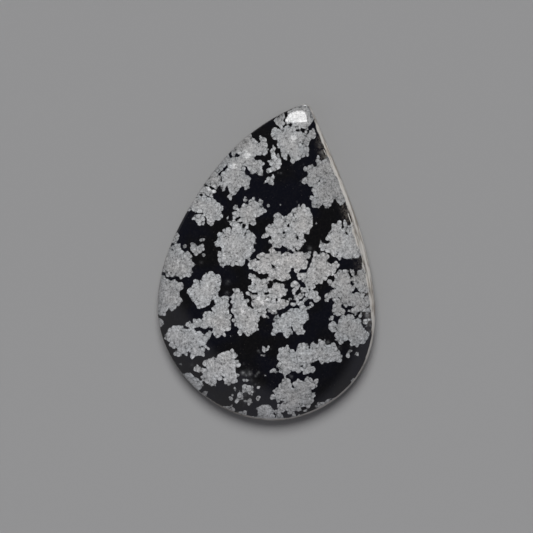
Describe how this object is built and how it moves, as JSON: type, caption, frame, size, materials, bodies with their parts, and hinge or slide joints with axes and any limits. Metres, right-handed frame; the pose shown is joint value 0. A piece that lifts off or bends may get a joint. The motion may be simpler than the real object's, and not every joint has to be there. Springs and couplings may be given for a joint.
{
  "type": "snowflake obsidian cabochon",
  "caption": "Polished pear-shaped cabochon of snowflake obsidian, flat-backed with a low dome, for setting in jewellery or for display.",
  "frame": {"origin": "on the flat back, in the middle of the outline's box", "axes": "+Y towards the pointed end, +Z out of the domed face, +X to the right seen from above"},
  "size_m": [0.031, 0.0452, 0.006],
  "materials": {
    "obsidian": "high polish black volcanic glass with pale grey snowflake-like crystal clusters"
  },
  "bodies": {
    "root": {"cabochon": "obsidian"}
  },
  "joints": []
}
